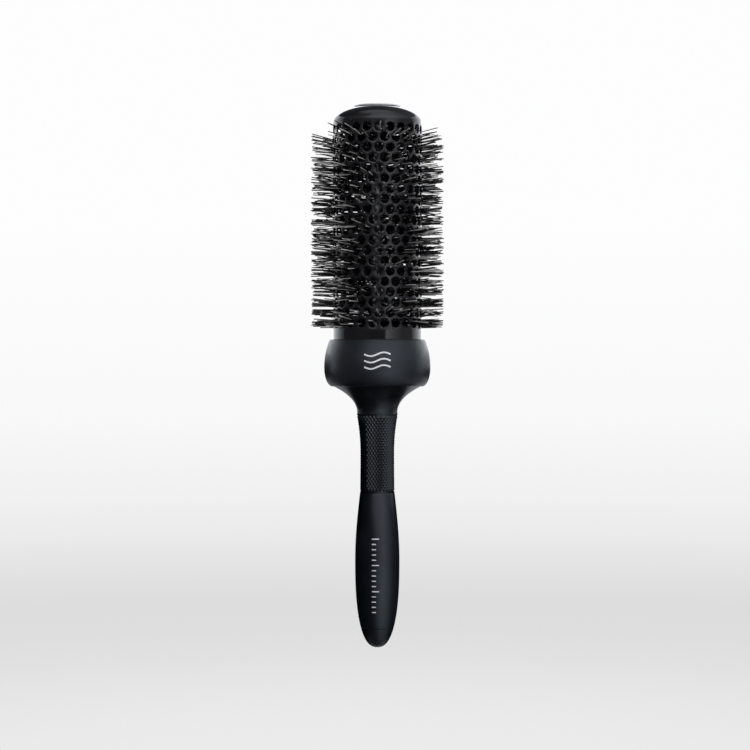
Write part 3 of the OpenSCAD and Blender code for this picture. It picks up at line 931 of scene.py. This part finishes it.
# The studio's brightness. Each row holds its lowest and highest elevation and its (azimuth from the front, level)
# pairs, all in degrees, and blends into the next. A white sweep stands behind the brush, a soft panel to the front
# right and another above the camera.
BACK = [(103, 0.65), (111, 1.27), (122, 1.75), (135, 2.2), (180, 2.2)]
BACK_LEFT = [(-a, level) for a, level in reversed(BACK)]
SKY = [
    (-90, -75, [(-180, 0.06), (180, 0.06)]),
    (-50, -32, [(-180, 0.6), (-150, 0.55), (-110, 0.12), (-20, 0.05), (10, 0.3), (30, 0.6), (70, 0.4),
                (110, 0.4), (150, 0.9), (179, 0.9), (180, 0.6)]),
    (-20, -7, [(-180, 0.6), (-150, 0.55), (-130, 0.15), (-30, 0.08), (0, 0.6), (20, 1.5), (45, 1.0),
               (66, 0.35), (90, 0.12), (127, 0.35), (150, 0.75), (179, 0.75), (180, 0.6)]),
    (-1, 2, BACK_LEFT + [(-98, 0.6), (-95, 0.15), (-46, 0.12), (-44, 0.15), (-24, 0.15), (-22, 0.1),
                         (20, 0.1), (22, 1.5), (45, 0.75), (66, 0.3), (99, 0.25)] + BACK),
    (4, 7, BACK_LEFT + [(-98, 0.6), (-95, 0.12), (-46, 0.12), (-30, 0.2), (-10, 0.4), (20, 0.5),
                        (30, 1.0), (45, 0.75), (66, 0.3), (99, 0.25)] + BACK),
    (12, 26, BACK_LEFT + [(-98, 0.6), (-95, 0.2), (-46, 0.35), (-40, 0.45), (-15, 1.6), (20, 1.7),
                          (22, 1.8), (45, 1.4), (66, 0.8), (99, 0.35)] + BACK),
    (30, 62, [(-180, 0.07), (-110, 0.07), (-66, 0.2), (-34, 0.3), (-14, 1.1), (20, 1.3), (40, 1.2),
              (66, 0.8), (110, 0.3), (180, 0.07)]),
    (76, 90, [(-180, 0.85), (180, 0.85)])]
SKY_PEAK = 2.2
SKY_TINT = (0.97, 0.99, 1.04)


def make_world():
    world = bpy.data.worlds.new("studio")
    bpy.context.scene.world = world
    world.use_nodes = True
    tree = world.node_tree

    def node(kind, inputs=(), **settings):
        made = tree.nodes.new(kind)
        for key, value in settings.items():
            setattr(made, key, value)
        for key, value in dict(inputs).items():
            if isinstance(value, bpy.types.NodeSocket):
                tree.links.new(value, made.inputs[key])
            else:
                made.inputs[key].default_value = value
        return made

    def share(value, start, end):
        ends = {"Value": value, "From Min": start, "From Max": end}
        return node("ShaderNodeMapRange", ends).outputs["Result"]

    toward = node("ShaderNodeTexCoord").outputs["Generated"]
    split = node("ShaderNodeSeparateXYZ", {0: toward})
    forward = node("ShaderNodeMath", {0: split.outputs["Y"], 1: -1.0}, operation="MULTIPLY").outputs[0]
    azimuth = node("ShaderNodeMath", {0: split.outputs["X"], 1: forward}, operation="ARCTAN2").outputs[0]
    turn = share(azimuth, -math.pi, math.pi)
    elevation = node("ShaderNodeMath", {0: split.outputs["Z"]}, operation="ARCSINE").outputs[0]
    light = None
    for k, (low, _, levels) in enumerate(SKY):
        ramp = node("ShaderNodeValToRGB", {"Fac": turn})
        set_ramp(ramp.color_ramp, [(degrees / 360 + 0.5, [level / SKY_PEAK * t for t in SKY_TINT])
                                   for degrees, level in levels])
        if light is None:
            light = ramp.outputs["Color"]
            continue
        rise = share(elevation, math.radians(SKY[k - 1][1]), math.radians(low))
        blend = {0: rise, 6: light, 7: ramp.outputs["Color"]}
        light = node("ShaderNodeMix", blend, data_type="RGBA").outputs[2]
    tree.links.new(light, tree.nodes["Background"].inputs["Color"])
    tree.nodes["Background"].inputs["Strength"].default_value = SKY_PEAK


# Cards curved round the brush: radius, bottom and top in metres, first and last azimuth in degrees, and glow
FLAGS = [
    (0.07, -0.15, -0.018, 76, 350, 0.0),        # by the tail
    (0.021, -0.032, 0.0195, 100, 332, 0.0),     # close round the grip and the neck
    (0.07, 0.026, 0.041, 100, 260, 0.0),        # behind the collar's lower edge
    (0.07, 0.041, 0.0465, 180, 260, 0.0),       # behind the middle of its left side
    (0.07, 0.0465, 0.0542, 180, 260, 0.45),     # behind the rest of its left side
    (0.07, 0.041, 0.0542, 100, 180, 0.8)]       # behind its right side


def make_flags():
    """The cards, unseen by the camera, whose reflections keep the brush's edges dark or grey."""
    places = 49
    for k, (r, low_z, high_z, first, last, glow) in enumerate(FLAGS):
        azimuths = np.radians(np.linspace(first, last, places))
        card = np.stack([on_axis(np.full(places, r), azimuths, np.full(places, z))
                         for z in np.linspace(low_z, high_z, 4)])
        at = np.arange(card.shape[0] * places).reshape(-1, places)
        faces = np.stack([at[:-1, :-1], at[:-1, 1:], at[1:, 1:], at[1:, :-1]], -1).reshape(-1, 4)
        name = f"stage_flag_{k}"
        material = new_material(name, "", (0.004, 0.004, 0.004), 0.9, Emission_Color=(1, 1, 1, 1),
                                Emission_Strength=glow)
        add_stage_mesh(name, card.reshape(-1, 3), faces.tolist(), material).visible_camera = False


def make_camera():
    """Level with a point just above the grip, a metre in front."""
    distance, view_width, sensor, aside = 1.0496, 0.3603, 36, -0.0011
    data = bpy.data.cameras.new("camera")
    data.sensor_width = sensor
    data.lens = sensor * distance / view_width
    data.clip_end = 60
    camera = bpy.data.objects.new("camera", data)
    camera.location = (aside, -distance, (GRIP_Z[1] + 18.6) * MM)
    camera.rotation_euler = (math.pi / 2, 0, 0)
    bpy.context.scene.collection.objects.link(camera)
    bpy.context.scene.camera = camera


def dress_cad_nodes():
    """Inner parts keep their CAD shapes and get finished materials."""
    for node, material in (("end_plug", PLAIN), ("base_plug", PLAIN), ("wire_ferrule", WIRE),
                           ("barrel_pins", WIRE)):
        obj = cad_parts[node]
        obj.data.materials.clear()
        obj.data.materials.append(material)


make_camera()
make_barrel()
make_end_disc()
make_wire("twisted_wire_a", "wire_strand_a", 0.0)
make_wire("twisted_wire_b", "wire_strand_b", math.pi)
make_bristles()
make_collar()
make_handle_core()
make_grip_sleeve()
make_handle_shell()
make_pick()
make_socket()
make_marks()
dress_cad_nodes()
make_stage()
make_world()
make_flags()
bpy.context.scene.view_settings.view_transform = "Standard"
